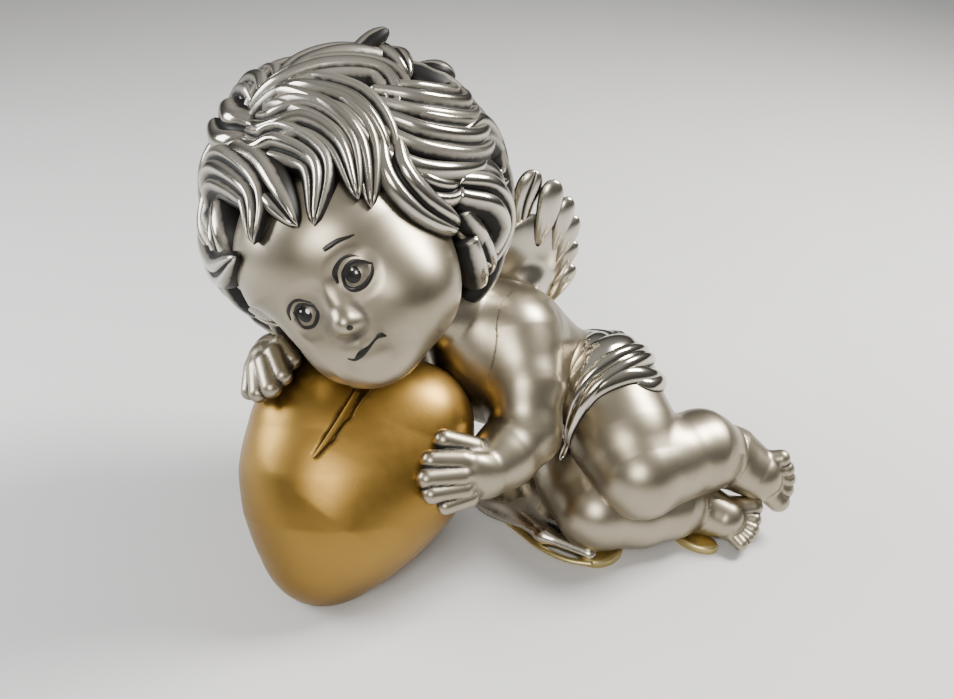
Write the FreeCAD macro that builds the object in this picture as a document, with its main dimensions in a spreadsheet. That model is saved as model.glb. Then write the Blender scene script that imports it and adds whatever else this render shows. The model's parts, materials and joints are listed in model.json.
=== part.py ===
"""Resin angel figurine: a winged child lying on its side, its head and arms resting on a big heart.

Frame: +X runs from the heart to the feet, +Y from the front to the back, +Z up.
The origin is on the ground, under the middle of the whole figurine.
Plan positions are measured from a datum near the heart's tip, and the sheet's origin_x and origin_y
say where the frame's origin lies from that datum.
"""
import FreeCAD, Part
import math
import os

Vector = FreeCAD.Vector
doc = FreeCAD.newDocument("resin_angel")
sheet = doc.addObject("Spreadsheet::Sheet", "dims")

# ---------------------------------------------------------------- driving dimensions, in millimetres
# Round stations of the body: centre x, y, z from the datum, then radius.
STATIONS = {
    "heart_tip": (8.5, -5.1, 6.1, 6.5),
    "heart_belly": (11.0, -1.3, 12.4, 11.8),
    "heart_right_flank": (6.9, 2.2, 18.3, 12.1),
    "heart_right_lobe": (8.2, 5.6, 24.5, 11.4),
    "heart_left_flank": (19.2, 2.2, 17.4, 12.3),
    "heart_left_lobe": (23.4, 5.6, 23.6, 11.2),
    "cheeks": (15.0, 7.5, 52.0, 17.0),
    "cranium": (16.0, 20.5, 56.0, 19.0),
    "neck": (31.5, 18.0, 38.5, 7.5),
    "chest": (41.0, 19.6, 29.0, 12.3),
    "waist": (51.0, 20.0, 23.5, 10.6),
    "pelvis": (59.0, 20.0, 18.0, 12.4),
    "seat": (58.2, 22.5, 12.4, 11.6),
    "left_shoulder": (42.3, 15.0, 35.1, 7.5),
    "left_elbow": (43.2, 4.0, 22.6, 6.2),
    "left_wrist": (34.8, -4.0, 20.6, 4.5),
    "left_palm": (33.6, -6.4, 22.4, 4.3),
    "right_shoulder": (32.0, 27.0, 28.0, 7.0),
    "right_elbow": (13.0, 27.5, 25.5, 5.6),
    "right_wrist": (2.4, 14.0, 32.5, 4.4),
    "right_palm": (1.6, 7.5, 36.4, 4.0),
    "left_hip": (59.0, 13.6, 23.2, 10.0),
    "left_knee": (62.3, 0.0, 16.2, 8.0),
    "left_calf": (74.8, 5.0, 16.5, 7.5),
    "left_ankle": (80.3, 6.0, 13.9, 5.6),
    "left_heel": (82.4, 6.6, 14.2, 4.9),
    "left_instep": (88.0, 3.4, 11.4, 4.0),
    "right_hip": (55.0, 17.0, 10.4, 9.6),
    "right_knee": (56.2, 1.0, 7.4, 7.0),
    "right_calf": (70.4, 2.4, 7.1, 6.2),
    "right_ankle": (74.2, 3.2, 6.0, 4.6),
    "right_heel": (76.0, 3.6, 6.0, 4.3),
    "right_instep": (81.2, -0.2, 4.2, 3.4),
    "nose": (8.2, -7.4, 55.2, 2.2),
    "left_ear": (28.4, 13.6, 62.4, 3.6),
    "right_ear": (3.4, 17.4, 41.0, 3.6),
    "left_wing_root": (45.2, 28.5, 36.0, 4.0),
    "left_wing_tip": (43.6, 29.5, 58.0, 4.0),
    "right_wing_root": (38.6, 32.0, 28.0, 4.0),
    "right_wing_tip": (27.0, 46.0, 44.0, 4.0),
}
# Tips of the fingers and toes: x, y, z from the datum, then the tip's radius.
DIGITS = {
    "left_palm": ((28.6, -3.6, 27.4, 1.7), (26.3, -6.6, 25.7, 1.7), (25.6, -8.8, 24.0, 1.7),
                  (26.2, -10.1, 22.0, 1.6), (28.4, -10.4, 19.8, 1.5)),
    "right_palm": ((5.2, 5.2, 37.6, 1.7), (4.2, 2.4, 36.6, 1.7), (2.5, 0.8, 35.4, 1.7),
                   (0.4, 1.4, 34.2, 1.6), (-1.0, 3.6, 33.4, 1.5)),
    "left_instep": ((90.6, 3.5, 14.8, 1.7), (91.4, 2.9, 12.7, 1.6), (91.8, 2.5, 10.8, 1.6),
                    (91.6, 2.1, 9.0, 1.8), (90.6, 1.6, 7.0, 2.2)),
    "right_instep": ((84.8, 1.0, 6.2, 2.1), (84.6, -0.8, 4.9, 1.6), (84.0, -2.0, 3.9, 1.5),
                     (83.0, -3.0, 3.0, 1.5), (81.6, -3.8, 2.3, 1.5)),
}
SIZES = {
    "origin_x": 42.89,             # from the datum to the middle of the figurine
    "origin_y": 16.31,
    "bone_fill": 0.95,            # a limb's cone against the balls at its two ends
    "hair_x": 16.4,
    "hair_y": 20.6,
    "hair_z": 56.5,
    "hair_radius": 21.6,
    "curl_radius": 6.2,
    "curl_reach": 18.6,           # from the middle of the hair to the middle of a curl
    "hairline": 7.0,              # from the middle of the hair to the hairline's plane
    "wing_thickness": 3.0,
    "wing_neck": 4.2,             # half width of a wing where it meets the back
    "wing_length": 22.5,          # from the root to the tip of the longest feather
    "wing_valley": 0.84,          # how far out two neighbouring feathers part, against their tips
    "wing_round": 0.8,
    "cloth_thickness": 4.0,       # the cloth under the body
    "cloth_round": 1.4,
    "dowel_radius": 1.5,
    "dowel_length": 11.0,
    "pin_radius": 0.8,            # the thinner pins in the wings
    "pin_length": 9.0,
    "rest_height": 1.4,           # the small gold pads under the right knee and ankle
    "rest_round": 0.6,
}


def fill_sheet():
    """Write every driving dimension as one row of the sheet: its name, and its value under that alias."""
    values = dict(SIZES)
    for name, station in STATIONS.items():
        for axis, value in zip(("x", "y", "z", "r"), station):
            values[f"{name}_{axis}"] = value
    for palm, tips in DIGITS.items():
        for number, tip in enumerate(tips, start=1):
            for axis, value in zip(("x", "y", "z", "r"), tip):
                values[f"{palm}_digit{number}_{axis}"] = value
    for row, (alias, value) in enumerate(values.items(), start=1):
        sheet.set(f"A{row}", alias)
        sheet.set(f"B{row}", str(value))
        sheet.setAlias(f"B{row}", alias)
    doc.recompute()


def size(alias):
    """One driving dimension, read back from the sheet."""
    return float(sheet.get(alias))


def bind(piece, **expressions):
    """Bind a piece's properties to the sheet, such as Radius="dims.dowel_radius"."""
    for prop, expression in expressions.items():
        piece.setExpression(prop, expression)
    return piece


def centre(station):
    """A station's centre in the row's frame."""
    x, y, z = (size(f"{station}_{axis}") for axis in "xyz")
    return Vector(x - size("origin_x"), y - size("origin_y"), z)


def put(piece, station, rotation=None):
    """Place a piece at a station of the sheet, turned by a rotation if it has one."""
    piece.Placement = FreeCAD.Placement(Vector(), rotation or FreeCAD.Rotation())
    piece.setExpression("Placement.Base.x", f"dims.{station}_x - dims.origin_x")
    piece.setExpression("Placement.Base.y", f"dims.{station}_y - dims.origin_y")
    piece.setExpression("Placement.Base.z", f"dims.{station}_z")
    return piece


def along(start, end):
    """A rotation whose Z runs from one station to another."""
    return FreeCAD.Rotation(Vector(0, 0, 1), centre(end) - centre(start))


def ball(station, rotation=None):
    """The round end of a limb, at a station."""
    piece = doc.addObject("Part::Sphere", f"{station}_ball")
    bind(piece, Radius=f"dims.{station}_r")
    return put(piece, station, rotation)


def bone(start, end):
    """A cone from one station to the next, a little inside the balls at its ends."""
    piece = doc.addObject("Part::Cone", f"{start}_to_{end}")
    span = " + ".join(f"(dims.{end}_{axis} - dims.{start}_{axis})^2" for axis in "xyz")
    bind(piece, Radius1=f"dims.{start}_r * dims.bone_fill", Radius2=f"dims.{end}_r * dims.bone_fill",
         Height=f"sqrt({span})")
    return put(piece, start, along(start, end))


def limb(*stations):
    """Balls at the stations and a cone between each and the next. Each ball's poles lie along a cone."""
    pieces = [ball(stations[0], along(stations[0], stations[1]))]
    for start, end in zip(stations, stations[1:]):
        pieces.append(ball(end, along(start, end)))
        pieces.append(bone(start, end))
    return pieces


def digits(palm):
    """Fingers or toes: a thin cone from the palm or instep to each tip."""
    pieces = []
    for number in range(1, len(DIGITS[palm]) + 1):
        tip = f"{palm}_digit{number}"
        finger = bone(palm, tip)
        bind(finger, Radius1=f"dims.{tip}_r * 1.1")
        pieces += [ball(tip, along(palm, tip)), finger]
    return pieces


def joined(name, pieces):
    """One solid from overlapping pieces, fused one after another."""
    whole = pieces[0]
    for number, piece in enumerate(pieces[1:], start=1):
        fusion = doc.addObject("Part::Fuse", f"{name}_fuse{number}")
        fusion.Base = whole
        fusion.Tool = piece
        whole = fusion
    return whole


def carved(name, base, tools):
    """The base with every tool cut out of it, so that neighbours meet face to face."""
    for number, tool in enumerate(tools, start=1):
        cut = doc.addObject("Part::Cut", f"{name}_cut{number}")
        cut.Base = base
        cut.Tool = tool
        base = cut
    return base


def facing(forward, up):
    """A rotation whose Z is up and whose Y points away from forward."""
    return FreeCAD.Rotation(Vector(), forward.negative(), up, "ZYX")


def ground_block():
    """Everything below the ground, which trims what stands on it flat."""
    block = doc.addObject("Part::Box", "below_ground")
    block.Length = 200
    block.Width = 200
    block.Height = 40
    block.Placement.Base = Vector(-100, -100, -40)
    return block


def dowel(name, middle, direction, kind="dowel"):
    """A steel pin glued across a joint, with its middle on the joint."""
    piece = doc.addObject("Part::Cylinder", f"{name}_pin")
    bind(piece, Radius=f"dims.{kind}_radius", Height=f"dims.{kind}_length")
    aim = Vector(direction)
    aim.normalize()
    start = middle - aim * (size(f"{kind}_length") / 2)
    piece.Placement = FreeCAD.Placement(start, FreeCAD.Rotation(Vector(0, 0, 1), aim))
    return piece


def surface_point(station, towards):
    """Where a station's ball meets the line to another station, and that line's direction."""
    direction = centre(towards) - centre(station)
    return centre(station) + direction * (size(f"{station}_r") / direction.Length), direction


# ---------------------------------------------------------------- the pieces
def heart_body():
    """Two swollen lobes that run down to one tip, a round belly between them, and a small flat sole."""
    right = limb("heart_tip", "heart_right_flank", "heart_right_lobe")
    left = limb("heart_tip", "heart_left_flank", "heart_left_lobe")[1:]
    middle = limb("heart_tip", "heart_belly")[1:]
    return joined("heart_body", right + left + middle)


HEAD_FORWARD = Vector(-0.38, -0.879, 0.289)    # where the face looks
HEAD_CROWN = Vector(-0.532, 0.463, 0.709)      # towards the top of the head
HEAD_LEFT = HEAD_CROWN.cross(HEAD_FORWARD)     # towards the figure's left ear


def hair_cap():
    """A thick cap over the cranium, open at the face, covered in round curls laid in rings."""
    middle = Vector(size("hair_x") - size("origin_x"), size("hair_y") - size("origin_y"), size("hair_z"))
    cap = doc.addObject("Part::Sphere", "hair_shell")
    bind(cap, Radius="dims.hair_radius")
    put(cap, "hair", facing(HEAD_FORWARD, HEAD_CROWN))
    curls = []
    for ring, (tilt, count, first, last) in enumerate(((18, 4, 0, 270), (50, 8, 0, 315), (82, 8, 60, 300),
                                                       (112, 6, 80, 280)), start=1):
        for number in range(count):
            turn = math.radians(first + (last - first) * number / (count - 1))
            level = math.radians(tilt)
            side = HEAD_FORWARD * math.cos(turn) + HEAD_LEFT * math.sin(turn)
            direction = HEAD_CROWN * math.cos(level) + side * math.sin(level)
            curl = doc.addObject("Part::Sphere", f"curl_{ring}_{number + 1}")
            bind(curl, Radius="dims.curl_radius")
            curl.Placement.Base = middle + direction * size("curl_reach")
            curls.append(curl)
    opening = doc.addObject("Part::Box", "face_opening")
    opening.Length = 80
    opening.Width = 40
    opening.Height = 80
    outward = HEAD_FORWARD * 0.84 - HEAD_CROWN * 0.54
    turned = facing(outward, HEAD_FORWARD * 0.54 + HEAD_CROWN * 0.84)
    corner = middle + outward * size("hairline")
    opening.Placement = FreeCAD.Placement(corner - turned.multVec(Vector(40, 40, 40)), turned)
    return carved("hair_open", joined("hair_all", [cap] + curls), [opening])


def plate(name, edges, thickness, placement, rounding=None):
    """A plate: a closed outline padded to a thickness, its upper edge rounded if asked."""
    body = doc.addObject("PartDesign::Body", f"{name}_body")
    plane = [p for p in body.Origin.OriginFeatures if p.Role == "XY_Plane"][0]
    sketch = body.newObject("Sketcher::SketchObject", f"{name}_outline")
    sketch.AttachmentSupport = (plane, "")
    sketch.MapMode = "FlatFace"
    for edge in edges:
        sketch.addGeometry(edge)
    pad = body.newObject("PartDesign::Pad", f"{name}_pad")
    pad.Profile = sketch
    pad.setExpression("Length", thickness)
    if rounding:
        doc.recompute()
        top = max(range(len(pad.Shape.Faces)), key=lambda i: pad.Shape.Faces[i].CenterOfMass.z)
        fillet = body.newObject("PartDesign::Fillet", f"{name}_fillet")
        fillet.Base = (pad, [f"Face{top + 1}"])
        fillet.setExpression("Radius", rounding)
    body.Placement = placement
    return body


def feather_edges(side):
    """A wing's outline from its neck: long feathers at the top, shorter ones down the outer side."""
    def polar(degrees, reach):
        angle = math.radians(degrees)
        return Vector(side * reach * math.sin(angle), reach * math.cos(angle), 0)

    length = size("wing_length")
    tips = [(-14, 0.88), (0, 1.0), (14, 0.96), (29, 0.80), (46, 0.64), (68, 0.50), (96, 0.40)]
    neck = size("wing_neck")
    corner = polar(-22, length * 0.66)
    edges = [Part.LineSegment(Vector(-side * neck, 0, 0), corner)]
    for (degrees, share), (after, next_share) in zip(tips, tips[1:] + [(124, 0.30)]):
        between = min(share, next_share) * size("wing_valley")
        valley = polar((degrees + after) / 2, length * between)
        edges.append(Part.Arc(corner, polar(degrees, length * share), valley))
        corner = valley
    foot = Vector(side * neck, -neck, 0)
    base = Vector(-side * neck, -neck, 0)
    edges.append(Part.LineSegment(corner, foot))
    edges.append(Part.LineSegment(foot, base))
    edges.append(Part.LineSegment(base, Vector(-side * neck, 0, 0)))
    return edges


WING_FACES = {"left_wing": Vector(0.10, -0.99, 0.10), "right_wing": Vector(-0.62, -0.70, 0.34)}


def wing_axes(name):
    """A wing's root, the direction to its tip, and the direction that its front looks, at right angles."""
    root = centre(f"{name}_root")
    up = centre(f"{name}_tip") - root
    up.normalize()
    face = WING_FACES[name] - up * WING_FACES[name].dot(up)
    face.normalize()
    return root, up, face


def wing(name, side):
    """A wing plate from its root towards its tip, with its scalloped side turned outwards."""
    root, up, face = wing_axes(name)
    turned = FreeCAD.Rotation(up.cross(face), up, face, "YZX")
    placement = FreeCAD.Placement(root, turned)
    return plate(name, feather_edges(side), "dims.wing_thickness", placement, "dims.wing_round")


def wing_dowel(name):
    """A thin pin up the middle of a wing's root, into the back."""
    root, up, face = wing_axes(name)
    return dowel(f"{name}_dowel", root + face * (size("wing_thickness") / 2) - up, up, "pin")


def ground_cloth_pad():
    """The fallen end of the cloth: a flat pad with a wavy outline, thick enough to stand on."""
    outline = ((32, 20), (39, 12.5), (45, 6.5), (50, 2.5), (54, 4), (60, 7), (66, 12), (68, 22), (62, 33),
               (48, 36), (35, 32))
    corners = [Vector(x - size("origin_x"), y - size("origin_y"), 0) for x, y in outline]
    edges = [Part.LineSegment(start, end) for start, end in zip(corners, corners[1:] + corners[:1])]
    return plate("cloth", edges, "dims.cloth_thickness", FreeCAD.Placement(), "dims.cloth_round")


def rest(name, x, y, half_length, half_width, turn):
    """A small flat oval pad on the ground, its upper edge rounded."""
    oval = Part.Ellipse(Vector(), half_length, half_width)
    placement = FreeCAD.Placement(Vector(x - size("origin_x"), y - size("origin_y"), 0),
                                  FreeCAD.Rotation(Vector(0, 0, 1), turn))
    return plate(name, [oval], "dims.rest_height", placement, "dims.rest_round")


fill_sheet()
ground = ground_block()
neck_dowel = dowel("neck_dowel", *surface_point("cranium", "neck"))
heart_dowel = dowel("heart_dowel", *surface_point("chest", "heart_left_lobe"))
heart = carved("heart", heart_body(), [ground, heart_dowel])
skull = limb("cheeks", "cranium") + [ball("nose"), ball("left_ear"), ball("right_ear")]
head = carved("head", joined("head_all", skull), [heart, neck_dowel])
plain_torso = joined("torso_all", limb("neck", "chest", "waist"))
left_wing_dowel = wing_dowel("left_wing")
right_wing_dowel = wing_dowel("right_wing")
torso = carved("torso", plain_torso, [heart, head, neck_dowel, heart_dowel, left_wing_dowel,
                                      right_wing_dowel])
hair = carved("hair", hair_cap(), [head, torso, heart, neck_dowel])
loincloth = carved("loincloth", joined("loincloth_all", limb("pelvis", "seat")), [torso, ground])
left_arm = carved("left_arm", joined("left_arm_all", limb("left_shoulder", "left_elbow", "left_wrist",
                                                          "left_palm") + digits("left_palm")),
                  [torso, heart, head, hair])
right_arm = carved("right_arm", joined("right_arm_all", limb("right_shoulder", "right_elbow", "right_wrist",
                                                             "right_palm") + digits("right_palm")),
                   [torso, heart, head, hair, right_wing_dowel])
left_leg = carved("left_leg", joined("left_leg_all", limb("left_hip", "left_knee", "left_calf",
                                                          "left_ankle")), [loincloth, torso, left_arm])
right_leg = carved("right_leg", joined("right_leg_all", limb("right_hip", "right_knee", "right_calf",
                                                             "right_ankle")),
                   [loincloth, torso, left_leg, ground])
left_foot = carved("left_foot", joined("left_foot_all", limb("left_heel", "left_instep")
                                       + digits("left_instep")), [left_leg, right_leg])
right_foot = carved("right_foot", joined("right_foot_all", limb("right_heel", "right_instep")
                                         + digits("right_instep")), [right_leg, left_leg, left_foot, ground])
left_wing = carved("left_wing", wing("left_wing", 1), [torso, hair, left_arm,
                                                          left_wing_dowel])
right_wing = carved("right_wing", wing("right_wing", -1),
                    [torso, hair, right_arm, left_wing, right_wing_dowel])
ground_cloth = carved("ground_cloth", ground_cloth_pad(), [heart, torso, loincloth, right_leg, left_leg,
                                                           right_arm])
knee_rest = carved("knee_rest", rest("knee_rest", 57.0, -1.6, 4.6, 3.4, 35), [right_leg])
ankle_rest = rest("ankle_rest", 74.8, -0.8, 3.9, 2.2, -36)
NODES = {
    "heart": heart, "head": head, "torso": torso, "hair_cap": hair, "loincloth": loincloth,
    "left_arm": left_arm, "right_arm": right_arm, "left_leg": left_leg, "right_leg": right_leg,
    "left_foot": left_foot, "right_foot": right_foot, "left_wing": left_wing, "right_wing": right_wing,
    "ground_cloth": ground_cloth, "knee_rest": knee_rest, "ankle_rest": ankle_rest,
    "neck_dowel": neck_dowel, "heart_dowel": heart_dowel, "left_wing_dowel": left_wing_dowel,
    "right_wing_dowel": right_wing_dowel,
}
doc.recompute()
failed = [item.Name for item in doc.Objects if "Invalid" in item.State or "Error" in item.State]
if failed:
    raise RuntimeError(f"these objects failed: {failed}")
os.makedirs("parts", exist_ok=True)
for name, piece in NODES.items():
    piece.Label = name
    shape = piece.Shape
    if shape.isNull() or not shape.isValid() or len(shape.Solids) != 1 or shape.Volume <= 0:
        raise RuntimeError(f"{name} is not one valid solid")
    shape.exportStep(f"parts/{name}.step")
    print(f"{name}: {shape.Volume / 1000:.2f} cm3")
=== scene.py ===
# %% [markdown]
# # A resin cherub resting on a heart
# This lesson dresses a small cast figurine: a winged child lies on its side, its head and both hands on a
# big gold heart. The real piece is poured resin, painted with a champagne-silver lacquer on the skin, a
# bright silver on hair, wings and cloth, gold on the heart, and black antique wash rubbed into every
# groove.
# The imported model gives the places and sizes. Here its plain solids are replaced by finished surfaces.

# %% Load the frame
import json
import bpy
import numpy as np
from mathutils import Matrix, Vector

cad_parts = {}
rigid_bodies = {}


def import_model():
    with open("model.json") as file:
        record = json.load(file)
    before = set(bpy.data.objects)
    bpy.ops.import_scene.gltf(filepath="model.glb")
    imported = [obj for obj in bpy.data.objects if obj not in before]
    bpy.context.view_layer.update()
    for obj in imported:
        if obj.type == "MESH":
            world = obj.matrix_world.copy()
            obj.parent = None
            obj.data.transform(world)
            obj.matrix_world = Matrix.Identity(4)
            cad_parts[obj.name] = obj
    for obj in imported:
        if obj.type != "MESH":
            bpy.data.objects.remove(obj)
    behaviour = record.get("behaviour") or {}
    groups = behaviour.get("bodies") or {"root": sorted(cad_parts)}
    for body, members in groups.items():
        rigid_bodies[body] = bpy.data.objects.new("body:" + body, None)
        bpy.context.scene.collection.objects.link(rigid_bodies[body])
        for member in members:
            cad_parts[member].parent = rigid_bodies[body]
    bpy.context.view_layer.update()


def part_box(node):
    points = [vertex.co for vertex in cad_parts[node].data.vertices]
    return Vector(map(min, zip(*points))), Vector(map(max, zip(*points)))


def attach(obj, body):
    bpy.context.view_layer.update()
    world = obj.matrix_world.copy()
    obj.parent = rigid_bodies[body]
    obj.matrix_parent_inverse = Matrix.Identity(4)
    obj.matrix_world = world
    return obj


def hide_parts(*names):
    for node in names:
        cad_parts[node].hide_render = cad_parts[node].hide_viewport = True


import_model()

MM = 0.001
COARSE = 1.0


def corner(node):
    """The lowest corner of a CAD node's box, in millimetres."""
    return np.array(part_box(node)[0]) / MM


# %% [markdown]
# ## Round forms as distance fields
# A sculptor builds a child from egg shapes and tapered rolls of clay, and smooths the joins with a thumb.
# A distance field does the same: each roll is a formula that says how far any point is from its surface,
# and a soft minimum is the thumb. The formulas work on whole arrays of points at once.

# %% Distance formulas
def roll(points, start, end):
    """Distance to a tapered roll: to the nearest point of its axis, less the radius there.

    Each end is x, y, z and radius."""
    a, b = np.array(start[:3]), np.array(end[:3])
    axis = b - a
    along = np.clip((points - a) @ axis / (axis @ axis), 0, 1)
    radius = start[3] + (end[3] - start[3]) * along
    return np.linalg.norm(points - a - along[:, None] * axis, axis=1) - radius


def egg(points, middle, radii, axes=np.eye(3)):
    """Distance to an ellipsoid, from its scaled length and that length's slope."""
    local = (points - np.array(middle)) @ np.array(axes).T
    scaled = np.linalg.norm(local / radii, axis=1)
    slope = np.linalg.norm(local / np.square(radii), axis=1)
    return scaled * (scaled - 1) / np.maximum(slope, 1e-6)


def blend(a, b, width):
    """Soft minimum: the smaller of two distances, rounded off over a width where they are nearly equal."""
    share = np.clip(0.5 + 0.5 * (b - a) / width, 0, 1)
    return b + (a - b) * share - width * share * (1 - share)


def carve(a, tool, width):
    """Soft cut of a tool out of a form."""
    return -blend(-a, tool, width)


def chain(points, stations, width=2.0):
    """Rolls from each station to the next, blended into one limb."""
    total = roll(points, stations[0], stations[1])
    for start, end in zip(stations[1:], stations[2:]):
        total = blend(total, roll(points, start, end), width)
    return total


# %% [markdown]
# ## From a field to a mesh
# The surface is where the field is zero. The space round a piece is filled with small cells; each cell that
# the surface crosses gets one point, and each cell edge it crosses gets one face. Two short steps along the
# field's slope then put every point exactly on the surface. The black wash is worked out here too: it
# gathers where a point just above the surface is nearer to the form than it should be, in a fold or groove.

# %% Cells to surface
def field_slope(field, points, reach=0.05):
    """The field's gradient from differences across each axis."""
    steps = np.eye(3) * reach
    return np.stack([(field(points + s) - field(points - s)) / (2 * reach) for s in steps], axis=1)


def surface_cells(field, low, high, step):
    """Points and faces of the zero surface: one point per crossed cell, one face per crossed cell edge."""
    counts = np.ceil((np.array(high) - low) / step).astype(int) + 1
    ticks = [low[i] + step * np.arange(counts[i]) for i in range(3)]
    values = np.empty(counts, np.float32)
    for i, x in enumerate(ticks[0]):
        sheet = np.stack(np.meshgrid(x, ticks[1], ticks[2], indexing="ij"), -1).reshape(-1, 3)
        values[i] = field(sheet).reshape(counts[1:])
    inside = values < 0
    total = np.zeros(tuple(counts - 1) + (3,), np.float32)
    number = np.zeros(counts - 1, np.int32)
    crossings = []
    for axis in range(3):
        others = [i for i in range(3) if i != axis]
        start = [slice(None)] * 3
        end = [slice(None)] * 3
        start[axis], end[axis] = slice(None, -1), slice(1, None)
        cut = inside[tuple(start)] != inside[tuple(end)]
        where = np.argwhere(cut)
        keep = np.all((where[:, others] > 0) & (where[:, others] < counts[others] - 1), axis=1)
        where = where[keep]
        ahead = where.copy()
        ahead[:, axis] += 1
        first, second = values[tuple(where.T)], values[tuple(ahead.T)]
        point = where.astype(np.float32)
        point[:, axis] += first / (first - second)
        ring = []
        for back in ((0, 0), (1, 0), (1, 1), (0, 1)):
            cell = where.copy()
            cell[:, others[0]] -= back[0]
            cell[:, others[1]] -= back[1]
            np.add.at(total, tuple(cell.T), point)
            np.add.at(number, tuple(cell.T), 1)
            ring.append(np.ravel_multi_index(tuple(cell.T), counts - 1))
        ring = np.stack(ring, 1)
        flip = (first > 0) ^ (axis == 1)
        ring[flip] = ring[flip][:, ::-1]
        crossings.append(ring)
    used = number.ravel() > 0
    label = np.cumsum(used) - 1
    points = (total.reshape(-1, 3)[used] / number.ravel()[used][:, None]) * step + low
    return points.astype(np.float64), label[np.concatenate(crossings)]


def settle(field, points, limit):
    """Two short steps down the field's slope, each no longer than a limit."""
    for _ in range(2):
        slope = field_slope(field, points)
        move = -field(points) / np.maximum(np.einsum("ij,ij->i", slope, slope), 0.2)
        points = points + slope * np.clip(move, -limit, limit)[:, None]
    return points


# %% [markdown]
# ## Handing a mesh to Blender
# Points are worked out in millimetres and stored in metres. A number per point, here the wash in the
# grooves, becomes an attribute that the finishes read. Every piece rides on the figurine's one body.

# %% Mesh helpers
SHARP_FROM = np.radians(55)    # edges steeper than this stay crisp on pieces cast from a field
PLAIN_LIMIT = 0.3              # how far a point of a plain cast may move as it settles


def make_piece(name, points, faces, nodes, wash, crisp=True):
    """A mesh object from points and faces, riding on the figurine and standing for CAD nodes."""
    mesh = bpy.data.meshes.new(name)
    mesh.from_pydata(points * MM, [], faces)
    mesh.shade_smooth()
    if crisp:
        mesh.set_sharp_from_angle(angle=SHARP_FROM)
    mesh.attributes.new("wash", "FLOAT", "POINT").data.foreach_set("value", wash.astype(np.float32))
    piece = bpy.data.objects.new(name, mesh)
    bpy.context.scene.collection.objects.link(piece)
    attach(piece, "root")
    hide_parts(*nodes)
    print(f"{name}: {len(points)} points, {len(faces)} faces")


def wash_in_folds(field, points, reach=0.9, gain=3.0):
    """How deep in a fold each point lies, from a step out along the slope.

    On an open surface the step adds its own length to the distance; in a fold it adds less."""
    slope = field_slope(field, points)
    slope /= np.maximum(np.linalg.norm(slope, axis=1), 1e-6)[:, None]
    shortfall = 1 - field(points + slope * reach) / reach
    return np.clip(gain * (shortfall - 0.12), 0, 1)


def cast_piece(name, field, low, high, step, nodes, slot):
    """A piece cast from a field: cells, settled points, and the wash in its folds."""
    cell = step * COARSE
    points, faces = surface_cells(field, low, high, cell)
    points = settle(field, points, cell / 2)
    make_piece(name, points, faces.tolist(), nodes, wash_in_folds(field, points))


def plain_cast(name, field, low, high, step, nodes, wash):
    """A small piece cast in cells of one size, with the same wash all over."""
    points, faces = surface_cells(field, np.array(low), np.array(high), step)
    points = settle(field, points, PLAIN_LIMIT)
    make_piece(name, points, faces.tolist(), nodes, np.full(len(points), wash))

# %% [markdown]
# ## Where the body's joints are
# The places of the head, shoulders, knees and so on are measured in millimetres from the same datum as the
# CAD model's, near the heart's tip. The datum is found from the model's own box, so that the looks stay on
# the model. Each station is a point and the radius of the roll there.

# %% Stations of the body
HAIR_CORNER = (-7.61, 10.33)     # the low corner of the hair's box, from the datum
DATUM = corner("hair_cap") * (1, 1, 0) - (*HAIR_CORNER, 0)


def at(x, y, z, *radius):
    """A point measured from the datum, with its radius if it has one."""
    return tuple(DATUM + (x, y, z)) + radius


NECK = at(31.5, 18, 38.5, 7.6)
CHEST = at(41.0, 19.6, 29, 11.9)
WAIST = at(50.6, 20, 22.0, 9.5)
PELVIS = at(59, 20, 18.4, 12.0)
SEAT = at(58.2, 22.5, 12.6, 11.4)
LEFT_ARM = [at(42.3, 15, 35.1, 7.3), at(43.4, 9, 29, 6.6), at(43.0, 4, 22.8, 6.0), at(39.0, 0.0, 21.2, 5.5),
            at(35.2, -3.8, 20.8, 4.3)]
RIGHT_ARM = [at(32, 27, 28, 6.8), at(13, 27.5, 25.5, 5.5), at(5.4, 21, 29.4, 5.0), at(2.4, 13, 33.6, 4.0)]
LEFT_LEG = [at(58.8, 13.8, 23.3, 10.0), at(61.2, 5.6, 19.0, 9.2), at(62.6, 0.2, 16.2, 7.8),
            at(68.4, 2.4, 16.6, 7.2), at(74.8, 5, 16.3, 7.2), at(80.0, 6.2, 14.2, 5.4)]
RIGHT_LEG = [at(55, 17, 10.6, 9.4), at(55.4, 8, 8.8, 8.2), at(56.4, 1.4, 7.4, 7.0), at(63.5, 1.2, 6.8, 6.3),
             at(70.4, 2.4, 7.1, 6.1), at(74.6, 3.2, 6.0, 4.4)]

# %% [markdown]
# ## The head's own axes
# The head is tilted to one side and rests on its cheek, so its features are placed in the head's own axes:
# left across the face, forward out of the nose, and up to the crown. Both halves of the face come from one
# formula, because the distance across is used without its sign.

# %% Head form
FORWARD = np.array([-0.2415, -0.9279, 0.2840])
CROWN = np.array([-0.4944, 0.3695, 0.7868])
LEFT = np.cross(CROWN, FORWARD)
HEAD_AXES = np.stack([LEFT, FORWARD, CROWN])
FACE = np.array(at(15, 7.5, 52))


def on_head(across, forward, up):
    """A point in the head's own axes, in the figurine's frame."""
    return FACE + across * LEFT + forward * FORWARD + up * CROWN


def ring(points, middle, radius, thickness):
    """Distance to a ring that lies flat against the side of the head."""
    local = points - np.array(middle)
    around = np.hypot(local[:, 1], local[:, 2] * 0.78) - radius
    return np.hypot(around, local[:, 0]) - thickness


EYE_SLANT = 0.14                         # the left eye sits higher, by this much per mm across
PRESSED_FROM, PRESSED_SHARE = 6.0, 1.1   # the right cheek is pressed flat against the heart

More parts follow.
